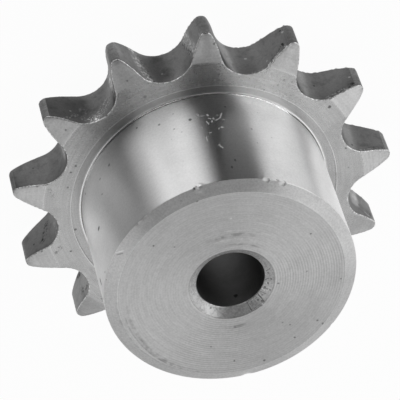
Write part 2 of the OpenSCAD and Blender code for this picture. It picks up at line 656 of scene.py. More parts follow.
@pattern("Place", "Centre", "Size", "Tall")
def spot(tree, source):
    """One mark at a known place, with a ragged edge; it can be drawn out along the axis."""
    rag = tree.noise(source["Place"], RAG_SCALE, 2.0)
    squash = tree.sum("DIVIDE", 1.0, source["Tall"])
    shape = tree.add("CombineXYZ", {"X": 1.0, "Y": 1.0, "Z": squash}).outputs[0]
    off = tree.vector("SUBTRACT", source["Place"], source["Centre"])
    away = tree.vector("LENGTH", tree.vector("MULTIPLY", off, shape), give=1)
    share_out = tree.sum("DIVIDE", away, source["Size"])
    edge = tree.sum("MULTIPLY_ADD", rag, 0.9, share_out)
    return {"Mask": tree.ramp(edge, 0.9, 1.5, 1.0, 0.0)}


@pattern("Place", "Start", "End", "Width")
def thread(tree, source):
    """A short straight line between two places, with soft sides."""
    off = tree.vector("SUBTRACT", source["Place"], source["Start"])
    run = tree.vector("SUBTRACT", source["End"], source["Start"])
    whole = tree.vector("DOT_PRODUCT", run, run, give=1)
    part = tree.sum("DIVIDE", tree.vector("DOT_PRODUCT", off, run, give=1), whole)
    held = tree.add("Clamp", {0: part}).outputs[0]
    foot = tree.vector("SCALE", run, Scale=held)
    away = tree.vector("LENGTH", tree.vector("SUBTRACT", off, foot), give=1)
    return {"Mask": tree.ramp(tree.sum("DIVIDE", away, source["Width"]), 0.4, 1.4, 1.0, 0.0)}


@pattern("Place", "Centre", "Cosine")
def side(tree, source):
    """The side of the part that faces one way: full there and nothing beyond an angle."""
    way = tree.vector("NORMALIZE", tree.vector("MULTIPLY", source["Place"], (1, 1, 0)))
    facing = tree.vector("DOT_PRODUCT", way, source["Centre"], give=1)
    return {"Mask": tree.ramp(facing, source["Cosine"], 1.0)}


@pattern("Place", "Centre", "Radius", "Width")
def ring_line(tree, source):
    """A circle about a centre of its own, uneven in strength."""
    off = tree.vector("SUBTRACT", source["Place"], source["Centre"])
    radius = tree.vector("LENGTH", tree.vector("MULTIPLY", off, (1, 1, 0)), give=1)
    miss = tree.sum("ABSOLUTE", tree.sum("SUBTRACT", radius, source["Radius"]))
    thin = tree.ramp(tree.sum("DIVIDE", miss, source["Width"]), 0.1, 1.0, 1.0, 0.0)
    broken = tree.ramp(tree.noise(source["Place"], GAP_SCALE, 3.0, 0.6), 0.35, 0.65)
    return {"Mask": tree.sum("MULTIPLY", thin, broken)}


class Finish:
    """What one kind of surface looks like."""

    def __init__(self, grey, roughness, anisotropy, along, pitch, depth, *shares):
        self.grey = grey
        self.roughness = roughness
        self.anisotropy = anisotropy
        self.along = along
        self.pitch = pitch
        self.depth = depth
        self.drift, self.waves, self.grain, self.smear, self.pitted = shares


# Grey, roughness, anisotropy, what the feed of the tool runs along, its pitch in millimetres
# (without a feed, the size of the clouds), depth of the marks, then the shares of the grey
# for wandering marks, for waves, for grain and for smears, and the share of pits
FINISHES = {
    "bore": Finish("bore_and_shade_grey", 0.5, 0.0, "height", 0.5, 0.15, 0.04, 0.0, 0.05, 0.15, 0.0),
    "countersink": Finish("countersink_grey", 0.44, 0.2, "radius", 0.3, 0.8, 0.06, 0.04, 0.2, 0.2, 0.1),
    "end_face": Finish("turned_grey", 0.4, 0.6, "radius", 0.38, 0.35, 0.05, 0.1, 0.08, 0.06, 0.02),
    "end_chamfer": Finish("chamfer_grey", 0.38, 0.6, "radius", 0.38, 0.3, 0.03, 0.03, 0.1, 0.08, 0.03),
    "hub_side": Finish("hub_grey", 0.4, 0.98, "height", 0.2, 0.08, 0.015, 0.0, 0.06, 0.04, 0.03),
    # The root, the relief's edge and the tooth edges take a pale grey that is partly painted highlight
    "hub_root": Finish("burr_and_highlight_grey", 0.2, 0.0, "radius", 0.3, 0.06, 0.04, 0.0, 0.03, 0.1, 0.01),
    "relief_floor": Finish("turned_grey", 0.24, 0.3, "radius", 0.3, 0.06, 0.04, 0.0, 0.03, 0.1, 0.01),
    "relief_edge": Finish("burr_and_highlight_grey", 0.3, 0.3, "radius", 0.3, 0.1, 0.08, 0.0, 0.06, 0.15, 0.0),
    "plate_face": Finish("turned_grey", 0.28, 0.5, "radius", 0.4, 0.07, 0.07, 0.02, 0.03, 0.08, 0.016),
    "tooth_bevel": Finish("turned_grey", 0.36, 0.6, "radius", 0.5, 0.35, 0.05, 0.04, 0.1, 0.1, 0.04),
    "tooth_edge": Finish("burr_and_highlight_grey", 0.36, 0.0, "", 0.4, 2.0, 0.0, 0.0, 0.5, 0.6, 0.0),
    "tooth_flank": Finish("hobbed_and_shade_grey", 0.42, 0.8, "", 1.6, 0.6, 0.0, 0.0, 0.14, 0.3, 0.04),
    "tooth_tip": Finish("tip_grey", 0.95, 0.0, "height", 0.4, 0.3, 0.1, 0.0, 0.16, 0.3, 0.03),
}

# Marks at known places, in millimetres from the middle of the chain line: x, y, z, size, their
# tone against the surface about them and, for some, how much they are drawn out along the axis.
# A tone below 1 is a dark spot and a tone above 1 a painted glint. Those on the hub's edge lie on
# its side and on its chamfer: painted glints at the dents, with painted shade beside them
HUB_EDGE_GLINTS_AND_SHADOWS = (
    (2.89, -18.27, 23.65, 0.26, 1.5),
    (3.45, -18.18, 23.8, 0.3, 0.4),
    (-6.78, -17.21, 23.65, 0.28, 1.6),
    (-8.83, -16.26, 23.65, 0.36, 1.6),
    (-8.3, -16.5, 23.5, 0.16, 0.4),
)
MARKS_AND_PAINTED_LIGHT = {
    "hub_side": (
        (1.14, -18.46, 8.47, 0.32, 0.4),
        (3.69, -18.13, 9.45, 0.16, 0.6),
        (2.8, -18.29, 10.69, 0.14, 0.7),
        (3.23, -18.22, 6.03, 0.16, 0.7),
        (3.81, -18.1, 17.09, 0.14, 0.75),
        (8.66, -16.35, 5.16, 0.22, 0.5),
        (13.63, -12.51, 7.5, 0.34, 0.6),
        (15.26, -10.46, 7.7, 0.26, 0.6),
        (17.02, -7.24, 14.8, 0.42, 0.25),
        (18.47, 1.17, 21.78, 0.24, 0.5),
        (-7.17, -17.06, 11.64, 0.22, 0.75, 1.5),
        (-9.74, -15.73, 12.8, 0.2, 0.8),
        (-7.32, -16.99, 15.0, 0.18, 0.7),
        (-3.29, -18.2, 19.33, 0.2, 0.6, 2.0),
        (-2.56, -18.32, 20.9, 0.2, 0.6, 2.0),
    )
    + HUB_EDGE_GLINTS_AND_SHADOWS,
    "end_face": (
        (10.37, -10.06, 24.5, 0.2, 0.5),
        (7.42, -9.06, 24.5, 0.14, 0.6),
        (4.24, 10.86, 24.5, 0.18, 0.6),
        (0.36, 8.0, 24.5, 0.3, 0.8),
        (-1.04, -12.09, 24.5, 0.2, 1.25),
        (-12.15, -6.43, 24.5, 0.18, 0.5),
        (-15.81, 3.06, 24.5, 0.18, 0.6),
        (-11.77, 10.02, 24.5, 0.22, 0.6),
        (-12.5, 10.81, 24.5, 0.22, 0.6),
        (-8.14, 12.42, 24.5, 0.2, 0.5),
        (-6.62, 9.06, 24.5, 0.2, 0.8),
        (-6.68, 1.5, 24.5, 0.2, 0.6),
    ),
    "end_chamfer": (
        (14.22, 11.83, 23.7, 0.24, 0.5),
        (17.81, -5.02, 23.7, 0.22, 0.6),
        (15.65, -9.87, 23.7, 0.2, 1.4),
    )
    + HUB_EDGE_GLINTS_AND_SHADOWS,
    "plate_face": (
        (18.19, -10.41, 3.5, 0.24, 0.5),
        (19.07, -9.41, 3.5, 0.2, 0.5),
        (19.92, -6.79, 3.5, 0.2, 0.6),
        (-20.08, -11.91, 3.5, 0.34, 0.4),
        (-21.88, -3.69, 3.5, 0.2, 0.5),
        (21.05, 5.26, 3.5, 0.22, 0.45),
        (-13.77, -18.39, 3.5, 0.26, 0.7),
        (-12.82, -17.71, 3.5, 0.2, 0.75),
        (-14.91, -17.75, 3.5, 0.2, 0.75),
        (6.66, -20.36, 3.5, 0.34, 0.7),
        (3.93, -19.69, 3.5, 0.2, 0.7),
        (-10.69, -17.32, 3.5, 0.16, 0.6),
        (-3.75, -20.85, 3.5, 0.22, 1.4),
    ),
    "relief_floor": ((19.8, 1.56, 3.2, 0.24, 0.5),),
    "tooth_bevel": (
        (24.2, -7.78, 3.0, 0.26, 0.6),
        (25.38, 4.45, 3.1, 0.28, 0.45),
    ),
    "tooth_flank": (
        (14.0, -17.7, 3.1, 0.4, 2.2),
        (13.4, -17.95, 2.6, 0.3, 1.8),
        (17.5, -18.2, 0.5, 0.26, 2.2),
        (21.1, -19.37, 0.6, 0.24, 1.7, 5.0),
        (9.74, -26.96, 2.3, 0.24, 1.8),
        (3.54, -22.09, 1.24, 0.18, 2.0),
        (-9.04, -20.56, -0.44, 0.24, 2.2),
        (-11.81, -21.27, 2.02, 0.2, 1.7),
        (-15.0, -23.5, -1.1, 0.26, 2.2),
        (-14.72, -23.4, -1.68, 0.2, 0.3),
        (-14.38, -23.18, 1.25, 0.26, 0.3),
        (-18.63, -13.5, -0.08, 0.24, 0.35),
        (-24.0, -13.87, 0.0, 0.24, 2.4),
        (-16.23, -15.32, 2.63, 0.22, 2.2),
        (-24.22, -2.36, 3.02, 0.3, 1.8),
        (24.83, 3.97, 1.13, 0.28, 0.35),
        (26.22, 4.83, 0.71, 0.22, 0.5),
    ),
    "countersink": (
        (-5.29, -1.62, 23.85, 0.16, 0.45),
        (-5.46, -0.23, 23.82, 0.18, 0.5),
        (-5.75, 0.78, 24.09, 0.18, 0.5),
        (-5.28, 1.64, 23.82, 0.2, 0.5),
        (-5.39, 2.65, 24.25, 0.16, 0.5),
        (-4.8, 2.39, 23.69, 0.2, 0.5),
        (-4.2, 3.6, 23.88, 0.18, 0.5),
        (-3.52, 4.35, 23.92, 0.16, 0.4, 3.0),
        (-4.04, 4.41, 24.25, 0.16, 0.4, 3.0),
        (-2.31, 4.93, 23.76, 0.16, 0.5, 3.0),
        (-2.28, 5.63, 24.31, 0.16, 0.5, 3.0),
        (3.0, 5.21, 24.26, 0.5, 1.4),
        (3.33, 4.6, 23.97, 0.4, 1.3),
        (3.83, 3.99, 23.85, 0.3, 1.3),
    ),
    "bore": ((-0.69, 4.95, 21.34, 0.4, 0.4),),
}
# White specks along the hub's edge, partly lint and partly painted glint: azimuth in degrees,
# height and size in millimetres, and the azimuth of the painted shadow beside each
EDGE_LINT_AND_GLINTS = (
    (-80.8, 23.95, 0.5, -79.0),
    (-111.3, 23.7, 0.55, -112.3),
    (-118.8, 23.7, 0.66, -119.8),
)
EDGE_BANDS = ("hub_side", "end_chamfer")
LINT_AND_GLINT_GREY = 1.0
# How far the painted shadow beside each speck lies above it, in millimetres, and its tone
PAINTED_SHADOW_RISE = 0.14
PAINTED_SHADOW_TONE = 0.4
# Threads of lint on the hub: azimuth in degrees, height, length, lean in degrees from the way
# round the hub, half width in millimetres and grey
THREADS = (
    (-90.4, 7.8, 0.55, 103, 0.11, 0.51),
    (-92.3, 8.2, 0.43, 164, 0.11, 0.36),
    (-94.6, 8.2, 0.2, 96, 0.16, 0.61),
    (-95.1, 9.1, 0.4, 146, 0.1, 0.51),
    (-96.7, 9.2, 0.25, 93, 0.11, 0.51),
    (-95.7, 9.8, 0.25, 79, 0.13, 0.51),
    (-93.6, 10.0, 0.7, 103, 0.1, 0.51),
    (-98.6, 9.4, 0.85, -143, 0.1, 0.51),
    (-100.4, 8.6, 1.15, -112, 0.1, 0.55),
    (-98.9, 8.4, 0.1, 173, 0.11, 0.43),
    (-101.3, 9.6, 0.26, 176, 0.11, 0.36),
    (-99.3, 11.4, 0.12, 173, 0.17, 0.65),
    (-97.7, 11.7, 0.24, 79, 0.09, 0.51),
    (-93.4, 12.4, 0.1, 166, 0.13, 0.43),
    (-91.0, 13.7, 0.95, 90, 0.1, 0.58),
    (-88.9, 8.4, 0.23, 79, 0.09, 0.72),
    (-89.7, 8.6, 0.24, 79, 0.09, 0.58),
    (-96.1, 15.9, 0.9, 118, 0.1, 0.55),
    (-95.6, 15.5, 0.36, 68, 0.09, 0.43),
    (-90.2, 11.0, 0.2, 126, 0.11, 0.51),
    (-7.4, 20.8, 1.1, 90, 0.22, 0.04),
)
# Scratches in the countersink: azimuth in degrees and radius of both ends, half width and tone
SCRATCHES = (
    (112.5, 5.15, 112.5, 6.2, 0.07, 0.45),
    (136.0, 5.2, 134.0, 6.3, 0.08, 0.4),
    (118.0, 5.3, 131.0, 5.3, 0.05, 0.6),
    (116.0, 6.15, 131.0, 6.15, 0.05, 0.6),
    (142.0, 5.1, 144.5, 5.8, 0.06, 0.55),
    (150.0, 5.2, 153.0, 5.7, 0.06, 0.55),
    (166.0, 5.1, 172.0, 5.5, 0.06, 0.5),
    (186.0, 5.3, 192.0, 5.9, 0.07, 0.5),
)
# Strips and flecks, in millimetres from the middle of the chain line: from one place to
# another, half width, size of the flecks (none for a plain strip) and their tone. Plain strips
# with a tone above 1 are painted reflections and highlights, light flecks are painted glints on
# torn metal, and darker strips and flecks are smeared metal and dark flecks
FLECKS_AND_SHEEN = {
    "tooth_flank": (
        ((7.0, -24.3, -3.2), (5.9, -23.0, 3.4), 1.3, 0, 1.5),
        ((10.9, -25.6, 0.0), (10.85, -21.6, 0.0), 2.6, 0, 1.6),
        ((21.3, 17.1, -0.5), (19.7, 14.3, 0.5), 2.6, 0, 1.65),
        ((-25.3, 12.1, -1.2), (-23.9, 10.5, -1.2), 1.3, 0, 1.4),
        ((7.15, -24.45, -2.8), (5.9, -23.0, 3.0), 0.9, 0.5, 2.4),
        ((6.3, -23.5, -3.0), (5.3, -22.4, 3.2), 0.5, 0.35, 0.6),
        ((-0.8, -25.0, -3.2), (-1.3, -25.95, 3.0), 1.2, 0, 1.4),
        ((-0.8, -25.0, -2.4), (-1.3, -25.95, 2.6), 0.9, 0.4, 2.4),
        ((-0.5, -24.2, -2.0), (-0.9, -25.2, 2.0), 0.5, 0.35, 0.5),
        ((10.95, -20.7, -3.0), (10.6, -21.2, 3.0), 0.7, 0, 1.3),
        ((10.95, -20.7, -2.6), (10.6, -21.2, 2.6), 0.7, 0.5, 2.2),
        ((14.35, -17.6, 3.0), (12.1, -18.8, 1.0), 1.0, 0.25, 2.1),
        ((15.8, -17.6, 2.0), (14.0, -17.7, 3.1), 0.6, 0.25, 2.3),
        ((18.6, -18.6, 2.5), (16.8, -17.9, 1.4), 0.4, 0.3, 2.2),
        ((16.0, -17.7, 0.0), (15.0, -17.6, 0.9), 0.5, 0.6, 1.6),
        ((19.4, -11.2, -2.8), (19.3, -11.3, 2.6), 0.8, 0, 1.6),
        ((19.4, -11.2, -2.6), (19.3, -11.3, 2.4), 0.7, 0.4, 2.2),
        ((22.5, 1.2, -2.6), (22.6, 1.5, 2.4), 0.8, 0.5, 2.0),
        ((-14.6, -23.3, 2.3), (-12.1, -21.4, 3.3), 0.5, 0.45, 4.0),
        ((-14.4, -23.2, 1.6), (-12.3, -21.6, 2.9), 0.35, 0.35, 0.55),
        ((-12.1, -21.4, 3.3), (-9.2, -20.6, 3.4), 0.4, 0.35, 2.6),
        ((-24.3, -13.9, 2.3), (-20.1, -13.3, 3.3), 0.5, 0.4, 3.0),
        ((-24.2, -13.9, 1.8), (-21.0, -13.5, 2.9), 0.45, 0.35, 0.4),
        ((-28.2, -0.9, 2.2), (-24.9, -2.2, 3.2), 0.45, 0.35, 2.6),
        ((-28.0, -0.9, 1.7), (-25.2, -2.1, 2.8), 0.4, 0.3, 0.45),
        ((-6.0, -22.4, -3.2), (-6.3, -22.0, 3.2), 1.1, 0, 1.85),
        ((-16.9, -14.5, -3.2), (-16.6, -14.8, 3.2), 1.0, 0, 1.65),
        ((-23.0, -3.1, -3.2), (-22.8, -3.3, 3.2), 1.0, 0, 1.55),
        ((-23.3, 9.9, -3.2), (-23.0, 9.65, 0.4), 0.8, 0, 2.1),
        ((-23.9, 10.6, 0.9), (-25.0, 11.8, 1.9), 0.6, 0.4, 2.8),
        ((-23.7, 10.3, 0.8), (-25.0, 11.8, 1.4), 0.5, 0.4, 0.4),
        ((19.0, -18.8, 0.0), (16.6, -17.9, 0.0), 3.2, 0, 0.88),
        ((4.2, -22.2, -1.0), (4.2, -22.2, 1.0), 2.6, 0, 0.95),
        ((23.6, 3.1, -1.6), (24.9, 4.0, 1.3), 0.5, 0.4, 0.45),
        ((19.2, 13.0, 2.6), (20.2, 15.0, 1.2), 0.5, 0.4, 0.5),
        ((20.4, 15.4, -2.6), (19.3, 13.3, -1.8), 0.5, 0.4, 0.55),
    ),
    "plate_face": (
        ((22.6, 4.2, 3.5), (23.2, 4.9, 3.5), 0.4, 0.3, 0.5),
        ((22.6, -7.0, 3.5), (22.3, -5.5, 3.5), 0.3, 0.3, 0.6),
    ),
    "end_chamfer": (
        ((15.75, -9.5, 23.65), (14.6, -9.9, 24.07), 0.1, 0, 1.3),
        ((15.6, -9.2, 23.8), (14.8, -9.5, 24.1), 0.1, 0, 0.75),
    ),
}
# Lines round the faces: centre x and y, radius and width in millimetres, azimuth and half
# spread in degrees, and tone. The light arc in the countersink is a painted highlight, and the
# dark arcs along the countersink's rim and on the end chamfer are painted shade along those edges
ARCS = {
    "end_face": (
        (-0.52, 0.99, 15.84, 0.5, 36, 44, 0.78),
        (-0.3, 0.6, 16.25, 0.16, 34, 40, 0.72),
        (0.0, 0.0, 9.1, 0.6, -95, 28, 0.8),
        (0.0, 0.0, 8.3, 0.3, -100, 34, 1.14),
        (0.0, 0.0, 9.9, 0.3, -90, 28, 1.12),
        (0.0, 0.0, 7.4, 0.25, -112, 34, 0.85),
        (0.0, 0.0, 8.0, 0.5, 88, 16, 0.85),
    ),
    "end_chamfer": ((0.0, 0.0, 16.86, 0.3, 27, 40, 0.85),),
    "countersink": (
        (0.0, 0.0, 6.33, 0.16, 35, 60, 0.55),
        (0.0, 0.0, 6.33, 0.16, 165, 55, 0.6),
        (0.0, 0.0, 5.75, 0.7, 34, 34, 1.3),
    ),
}
# Sides where the waves of the turning are painted with more contrast, as the light shows them
# best there: azimuth and half spread in degrees
WAVY_SIDES = {"end_face": ((180, 34), (72, 36))}


def direction(azimuth):
    """Unit vector across the axis at an azimuth in degrees."""
    turn = math.radians(azimuth)
    return math.cos(turn), math.sin(turn), 0.0


def on_hub(sizes, azimuth, height):
    """A place on the hub's side."""
    radius = sizes.hub_d / 2
    x, y, _ = direction(azimuth)
    return radius * x, radius * y, height


def on_sink(sizes, azimuth, radius):
    """A place on the countersink in the hub's end."""
    x, y, _ = direction(azimuth)
    down = (sizes.bore_r + sizes.countersink_w - radius) / sizes.countersink_w
    return radius * x, radius * y, sizes.end_z - down * sizes.countersink_depth


def spotted(tree, place, centre, size, tall=1.0):
    """Mask of a spot."""
    return tree.group(spot, Place=place, Centre=centre, Size=size * MM, Tall=tall)["Mask"]


def lined(tree, place, start, end, width):
    """Mask of a straight line."""
    return tree.group(thread, Place=place, Start=start, End=end, Width=width * MM)["Mask"]


def sided(tree, place, azimuth, spread):
    """Mask of the side round an azimuth."""
    cosine = math.cos(math.radians(spread))
    return tree.group(side, Place=place, Centre=direction(azimuth), Cosine=cosine)["Mask"]


def known_marks_and_painted_light(tree, name, place, sizes):
    """Masks and tones of the marks at known places on one kind of surface, painted glints and painted
    shade among them.
    """
    found = []
    # Tones below 1 darken; tones above 1 are painted glints
    for x, y, z, size, tone, *tall in MARKS_AND_PAINTED_LIGHT.get(name, ()):
        centre = (x * MM, y * MM, z * MM)
        found.append((spotted(tree, place, centre, size, *tall), tone))
    # Lines round the faces, painted highlight and painted shade along edges among them
    for x, y, radius, width, azimuth, spread, tone in ARCS.get(name, ()):
        centre = (x * MM, y * MM, 0.0)
        ring = dict(Place=place, Centre=centre, Radius=radius * MM, Width=width * MM)
        line = tree.group(ring_line, **ring)["Mask"]
        near = sided(tree, place, azimuth, spread)
        found.append((tree.sum("MULTIPLY", line, near), tone))
    if name in EDGE_BANDS:
        # Painted shadows beside the white specks on the hub's edge
        for azimuth, height, size, shadow_azimuth in EDGE_LINT_AND_GLINTS:
            centre = on_hub(sizes, shadow_azimuth, (height + PAINTED_SHADOW_RISE) * MM)
            found.append((spotted(tree, place, centre, size), PAINTED_SHADOW_TONE))
    if name == "countersink":
        for first, inner, last, outer, width, tone in SCRATCHES:
            start = on_sink(sizes, first, inner * MM)
            end = on_sink(sizes, last, outer * MM)
            found.append((lined(tree, place, start, end, width), tone))
    return found


def known_flecks_and_sheen(tree, name, place):
    """Masks and tones of the strips and flecks on one kind of surface, painted reflections and glints
    among them.
    """
    found = []
    # Strips above 1 are painted reflections and highlights, light flecks painted glints
    for first, last, width, size, tone in FLECKS_AND_SHEEN.get(name, ()):
        start = tuple(value * MM for value in first)
        end = tuple(value * MM for value in last)
        mask = lined(tree, place, start, end, width)
        if size:
            loose = tree.group(specks, Place=place, Size=size * MM)["Mask"]
            mask = tree.sum("MULTIPLY", mask, loose)
        found.append((mask, tone))
    return found


def known_lint_and_glints(tree, name, place, sizes):
    """Masks and greys of the lint on one kind of surface, with the white specks on the hub's edge that
    are partly painted glint.
    """
    found = []
    if name in EDGE_BANDS:
        # White specks on the hub's edge: partly lint, partly painted glint
        for azimuth, height, size, _ in EDGE_LINT_AND_GLINTS:
            centre = on_hub(sizes, azimuth, height * MM)
            found.append((spotted(tree, place, centre, size), LINT_AND_GLINT_GREY))
    if name == "hub_side":
        for azimuth, height, run, lean, width, grey in THREADS:
            turn = math.radians(lean)
            rise = run / 2 * math.sin(turn)
            swept = math.degrees(run / 2 * MM * math.cos(turn) / (sizes.hub_d / 2))
            start = on_hub(sizes, azimuth - swept, (height - rise) * MM)
            end = on_hub(sizes, azimuth + swept, (height + rise) * MM)
            found.append((lined(tree, place, start, end, width), grey))
    return found


def swing(tree, value, part):
    """A value from 0 to 1 turned into a shift of the tone, from minus to plus its part."""
    return tree.sum("MULTIPLY_ADD", value, 2 * part, -part)


# Sizes of the grain, of the clouds on turned surfaces and of the cells that may hold a pit
GRAIN_SIZE = 0.3 * MM
CLOUD_SIZE = 5 * MM
PIT_CELL = 1.1 * MM
PIT_TONE = 0.5
# Share of the waves that shows away from the sides where they show best
FAINT_WAVES = 0.25
LIGHTEST = 0.95
# What the grain and the marks add to the roughness, and how deep the marks are sunk
GRAIN_ROUGH = 0.04
MARK_ROUGH = 0.25
MARK_SUNK = 2.0
QUARTER_TURN = 0.25


def dress(name, finish, look, sizes):
    """Material of one kind of surface: a grey metal with marks, smears, pits and known marks, painted
    glints, shade and reflections among them.
    """
    material = new_material(name)
    tree = Tree(material.node_tree)
    place = tree.add("TexCoord").outputs["Object"]
    fine = tree.group(grain, Place=place, Size=GRAIN_SIZE)["Grain"]
    shift = swing(tree, fine, finish.grain)
    height = fine
    cloud_size = finish.pitch * MM
    if finish.along:
        cloud_size = CLOUD_SIZE
        if finish.along == "radius":
            along = tree.vector("LENGTH", tree.vector("MULTIPLY", place, (1, 1, 0)), give=1)
        else:
            along = tree.add("SeparateXYZ", {0: place}).outputs["Z"]
        marks = tree.group(turned_marks, Place=place, Along=along, Pitch=finish.pitch * MM)
        # The waves are painted with more contrast on the sides where the light shows them best
        shown = FAINT_WAVES
        for azimuth, spread in WAVY_SIDES.get(name, ()):
            shown = tree.sum("MAXIMUM", shown, sided(tree, place, azimuth, spread))
        waves = tree.sum("MULTIPLY", swing(tree, marks["Wave"], finish.waves), shown)
        shift = tree.sum("ADD", shift, swing(tree, marks["Drift"], finish.drift))
        shift = tree.sum("ADD", shift, waves)
        height = tree.sum("ADD", height, marks["Drift"])
    cloud = tree.group(smears, Place=place, Size=cloud_size)["Mask"]
    grey = getattr(look, finish.grey)
    tone = tree.sum("MULTIPLY_ADD", shift, grey, grey)
    smeared = tree.sum("MULTIPLY_ADD", cloud, -finish.smear, 1.0)
    tone = tree.sum("MULTIPLY", tone, smeared)
    pitted = tree.group(pits, Place=place, Cell=PIT_CELL, Share=finish.pitted)["Mask"]
    darkened = pitted
    known = known_marks_and_painted_light(tree, name, place, sizes) + known_flecks_and_sheen(tree, name, place)
    # Known tones above 1 are painted glints and reflections; those below 1 darken, painted shade among
    # them
    for mask, level in [(pitted, PIT_TONE)] + known:
        tone = tree.sum("MULTIPLY", tone, tree.sum("MULTIPLY_ADD", mask, level - 1, 1.0))
        if level < 1:
            darkened = tree.sum("MAXIMUM", darkened, mask)
    tone = tree.sum("MINIMUM", tone, LIGHTEST)
    metal = 1.0
    for mask, pale in known_lint_and_glints(tree, name, place, sizes):
        tone = tree.blend(tone, pale, mask)
        metal = tree.blend(metal, 0.0, mask)
    rough = tree.sum("MULTIPLY_ADD", fine, GRAIN_ROUGH, finish.roughness - GRAIN_ROUGH / 2)
    rough = tree.sum("MULTIPLY_ADD", darkened, MARK_ROUGH, rough)
    sunk = tree.sum("MULTIPLY_ADD", darkened, -MARK_SUNK, height)
    relief = {"Height": sunk, "Distance": finish.depth * look.mark_depth}
    bump = tree.add("Bump", relief).outputs[0]
    tangent = tree.add("Tangent", direction_type="UV_MAP", uv_map=MAP_NAME).outputs[0]
    surface = {
        "Base Color": tone,
        "Metallic": metal,
        "Roughness": rough,
        "Anisotropic": finish.anisotropy,
        "Anisotropic Rotation": QUARTER_TURN,
        "Normal": bump,
        "Tangent": tangent,
    }
    shader = tree.add("BsdfPrincipled", surface).outputs[0]
    tree.add("OutputMaterial", {"Surface": shader})
    return material


def new_material(name):
    """An empty node material."""
    material = bpy.data.materials.new(name)
    material.use_nodes = True
    material.node_tree.nodes.clear()
    return material


class SPROCKET_OT_body(bpy.types.Operator):
    """Make the sprocket and dress each of its surfaces."""

    bl_idname = "sprocket.body"
    bl_label = "Make the sprocket"

    def execute(self, context):
        sizes = context.scene.sprocket_sizes
        look = context.scene.sprocket_look
        grid, names = sprocket_grid(sizes, look)
        mesh = grid_mesh("turned_steel_sprocket", grid, names, BANDS)
        for band in BANDS:
            mesh.materials.append(dress(band, FINISHES[band], look, sizes))
        piece = bpy.data.objects.new("turned_steel_sprocket", mesh)
        context.scene.collection.objects.link(piece)
        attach(piece, BODY)
        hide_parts(NODE)
        return {"FINISHED"}


class StudioSettings(bpy.types.PropertyGroup):
    """Camera, floor and lights."""

    azimuth: angle("Azimuth", "Direction the camera stands in, from -Y towards +X", 7.202)
    elevation: angle("Elevation", "Height of the camera above the horizon", 50.693)
    roll: angle("Roll", "Turn of the camera about its own line of sight", 162.954)
    distance: length("Distance", "From the camera to the point it aims at", 440.4 * MM)
    aim: bpy.props.FloatVectorProperty(
        name="Aim",
        description="Point at the middle of the picture",
        default=(1.44 * MM, -4.76 * MM, 10.0 * MM),
        unit="LENGTH",
    )
    lens: bpy.props.FloatProperty(
        name="Lens", description="Focal length on a 36 mm sensor", default=271.01, unit="CAMERA"
    )
    floor_size: length("Floor", "Width of the floor", 6.0)


def camera_matrix(studio):
    """Camera place from azimuth, elevation and roll about the point that it aims at."""
    back = Vector(
        (
            math.sin(studio.azimuth) * math.cos(studio.elevation),
            -math.cos(studio.azimuth) * math.cos(studio.elevation),
            math.sin(studio.elevation),
        )
    )
    level = Vector((0, 0, 1)).cross(back).normalized()
    up = back.cross(level)
    right = math.cos(studio.roll) * level + math.sin(studio.roll) * up
    top = back.cross(right)
    place = Vector(studio.aim) + studio.distance * back
    turn = Matrix((right, top, back)).transposed()
    return Matrix.Translation(place) @ turn.to_4x4()


# Share of the paper's tone that the camera and mirrored rays see plain, without its shading
PLAIN_SHARE = 0.96


def paper_material(name, attribute=""):
    """Paper: its own tone to the camera and in reflections, with a little of its own shading."""
    material = new_material(name)
    tree = Tree(material.node_tree)
    path = tree.add("LightPath").outputs
    seen = tree.most([path["Is Camera Ray"], path["Is Glossy Ray"], path["Is Transmission Ray"]])
    tone = (1, 1, 1, 1)
    if attribute:
        tone = tree.add("Attribute", attribute_name=attribute).outputs["Color"]
    matt = tree.add("BsdfDiffuse", {"Color": tone}).outputs[0]
    plain = tree.add("Emission", {"Color": tone, "Strength": 1.0}).outputs[0]
    mixed = {0: tree.sum("MULTIPLY", seen, PLAIN_SHARE), 1: matt, 2: plain}
    tree.add("OutputMaterial", {"Surface": tree.add("MixShader", mixed).outputs[0]})
    return material


# Lamps about the part: direction (azimuth from +X, elevation), spread in degrees (wide, tall)
# and brightness, where 1 is as bright as white paper
LAMPS = {
    "left_strip": (290, 9, 36, 18, 2.35),
    "right_strip": (210, 12, 42, 24, 3.1),
    "left_wall": (15, 15, 56, 28, 0.26),
    "left_line": (8, 21, 16, 8, 0.7),
    "back_left_wall": (72, 15, 56, 28, 0.28),
    "back_right_wall": (130, 15, 56, 28, 0.5),
    "left_box": (30, 48, 60, 36, 0.52),
    "back_box": (100, 50, 64, 40, 0.58),
    "right_box": (160, 48, 50, 40, 0.7),
    "top_box": (90, 84, 40, 40, 0.45),
}
LAMP_DISTANCE = 1.0
WORLD_STRENGTH = 0.04
# Graded paper on the floor round the front of the part, hidden from the camera, from shadows and
# from diffuse light, so that it shows only as dark reflections in the metal: azimuth in degrees,
# its grey near the part and its grey farther off
GREYS = (
    (186, 1.0, 1.0),
    (193, 0.3, 0.04),
    (205, 0.32, 0.35),
    (216, 0.47, 0.35),
    (227, 0.62, 0.18),
    (234, 0.03, 0.02),
    (263, 0.02, 0.02),
    (271.5, 1.0, 0.4),
    (277, 1.0, 0.9),
    (285, 1.0, 1.0),
    (298, 1.0, 1.0),
    (305, 1.0, 0.66),
    (314, 0.5, 0.58),
    (324, 0.39, 0.2),
    (336, 0.3, 0.32),
    (346, 0.33, 0.28),
    (356, 0.56, 0.32),
    (366, 0.8, 0.32),
    (376, 1.0, 0.42),
    (386, 0.95, 0.16),
    (396, 1.0, 0.36),
    (405, 1.0, 0.45),
    (410, 1.0, 1.0),
)
# Radii of the paper: near grey between the first two, far grey between the last two
PAPER_RINGS = (30 * MM, 48 * MM, 56 * MM, 1.2)
PAPER_LIFT = 0.2 * MM


